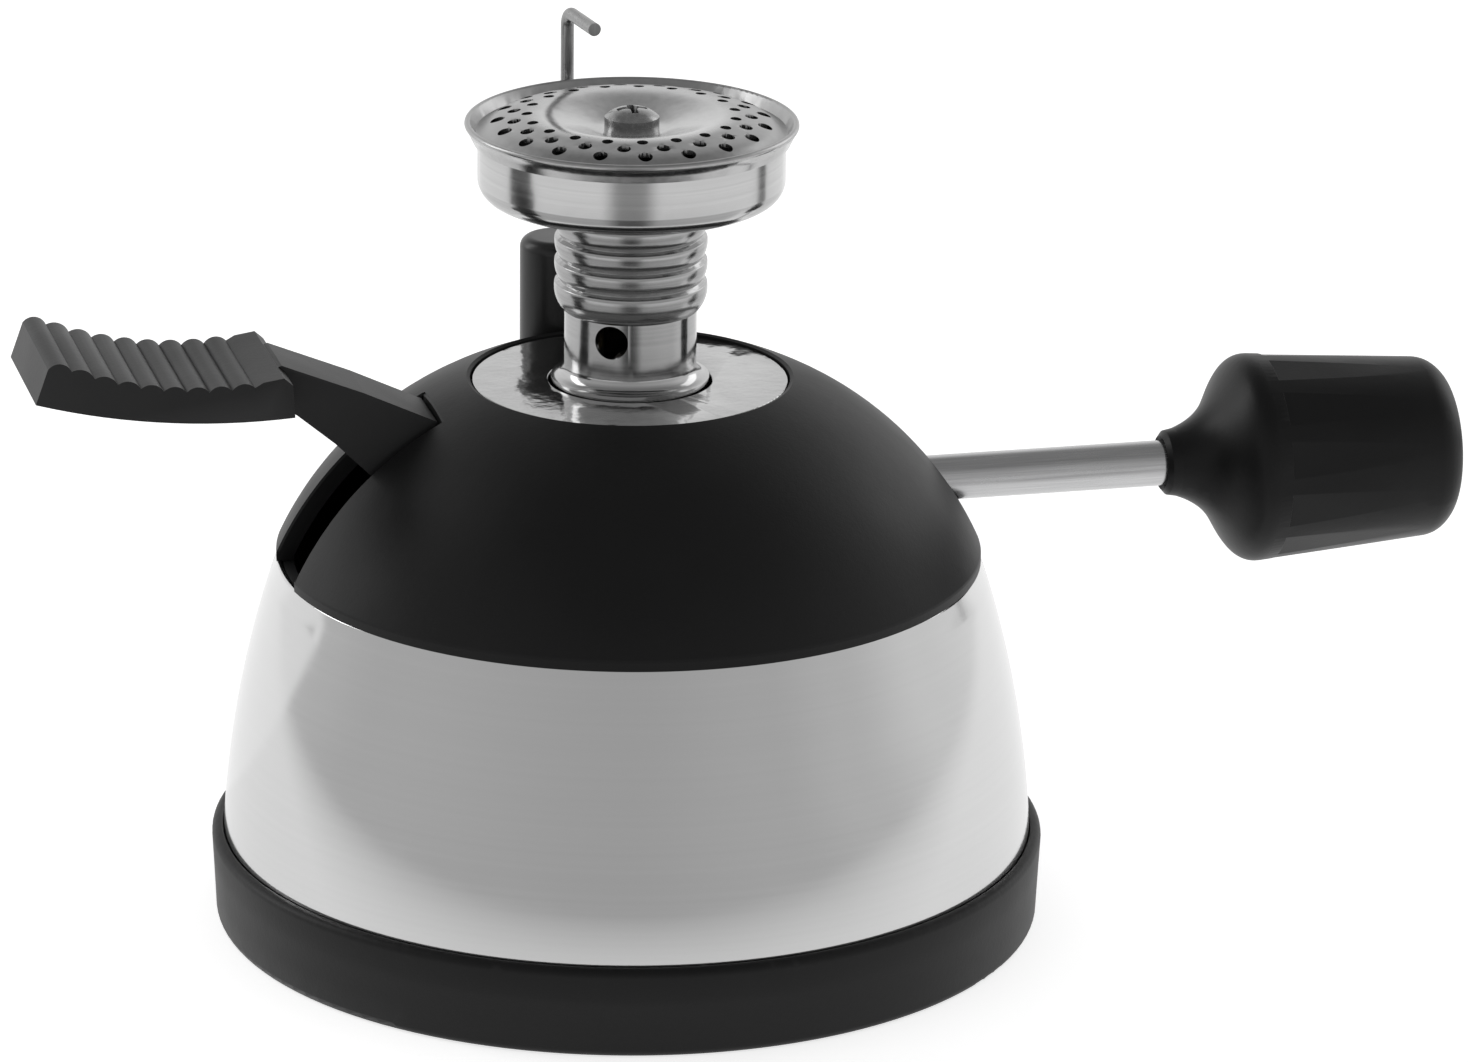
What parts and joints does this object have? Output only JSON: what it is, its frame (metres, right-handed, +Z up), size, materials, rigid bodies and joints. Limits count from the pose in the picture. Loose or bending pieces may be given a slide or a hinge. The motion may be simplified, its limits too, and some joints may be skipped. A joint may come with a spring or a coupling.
{
  "type": "bunsen burner",
  "caption": "Tabletop butane burner: round base with tank, polished skirt, black dome, piezo lever, valve knob on a side rod and a perforated burner head.",
  "frame": {"origin": "centre of the base ring on the surface the burner stands on", "axes": "+Z up along the mixing tube, +X along the valve rod to the knob, the ignition lever points to -X"},
  "size_m": [0.1644, 0.0943, 0.1008],
  "materials": {
    "black_moulding": "moulded, fine matt grain",
    "knob_moulding": "moulded, satin",
    "post_ceramic": "black glazed",
    "polished_skirt": "polished stainless",
    "bright_head": "polished, plated",
    "rod_steel": "drawn",
    "pressed_steel": "zinc plated",
    "tank_shell": "drawn",
    "valve_brass": "machined",
    "seal_rubber": "matt",
    "lead_sleeve": "satin",
    "igniter_case": "moulded",
    "spring_steel": "drawn wire",
    "wick_felt": "felt"
  },
  "bodies": {
    "housing": {"base_ring": "black_moulding", "bottom_plate": "pressed_steel", "base_screws": "pressed_steel", "skirt_shell": "polished_skirt", "dome_shell": "black_moulding", "top_plate": "bright_head", "fuel_tank": "tank_shell", "tank_lid": "tank_shell", "tank_seal": "seal_rubber", "tank_outlet": "valve_brass", "tank_nut": "valve_brass", "fuel_wick": "wick_felt", "fill_valve_body": "valve_brass", "fill_valve_spring": "spring_steel", "chassis": "pressed_steel", "chassis_screws": "pressed_steel", "valve_body": "valve_brass", "valve_screws": "pressed_steel", "feed_tube": "valve_brass", "packing_nut": "valve_brass", "valve_seal": "seal_rubber", "gas_jet": "valve_brass", "mixing_tube": "bright_head", "fin_sleeve": "bright_head", "burner_cup": "bright_head", "flame_gauze": "spring_steel", "cap_post": "valve_brass", "burner_cap": "bright_head", "cap_screw": "bright_head", "electrode_post": "post_ceramic", "electrode_wire": "rod_steel", "ignition_lead": "lead_sleeve", "lever_pin": "rod_steel", "piezo_body": "igniter_case", "piezo_spring": "spring_steel"},
    "knob": {"control_rod": "rod_steel", "control_knob": "knob_moulding"},
    "needle": {"valve_needle": "rod_steel"},
    "lever": {"ignition_lever": "black_moulding"},
    "plunger": {"piezo_plunger": "igniter_case"},
    "filler": {"fill_valve_stem": "valve_brass"}
  },
  "joints": [
    {"name": "knob_turn", "type": "hinge", "parent": "housing", "child": "knob", "pos_m": [0.05, 0, 0.0486], "axis": [1, 0, 0], "range_deg": [0, 270]},
    {"name": "needle_lift", "type": "slide", "parent": "knob", "child": "needle", "axis": [1, 0, 0], "range_m": [0, 0.0004]},
    {"name": "lever_press", "type": "hinge", "parent": "housing", "child": "lever", "pos_m": [-0.0145, 0, 0.0545], "axis": [0, -1, 0], "range_deg": [0, 20], "stiffness_Nm_per_rad": 0.3, "springref_deg": -14.32},
    {"name": "plunger_travel", "type": "slide", "parent": "housing", "child": "plunger", "axis": [0, 0, -1], "range_m": [0, 0.0034], "deforming": ["piezo_spring"]},
    {"name": "filler_push", "type": "slide", "parent": "housing", "child": "filler", "axis": [0, 0, 1], "range_m": [0, 0.002], "stiffness_N_per_m": 400, "springref_m": -0.003, "deforming": ["fill_valve_spring"]}
  ],
  "couplings": [
    {"joint": "needle_lift", "follows": "knob_turn", "m_per_rad": 0.000079577},
    {"joint": "plunger_travel", "follows": "lever_press", "m_per_rad": 0.00945}
  ]
}
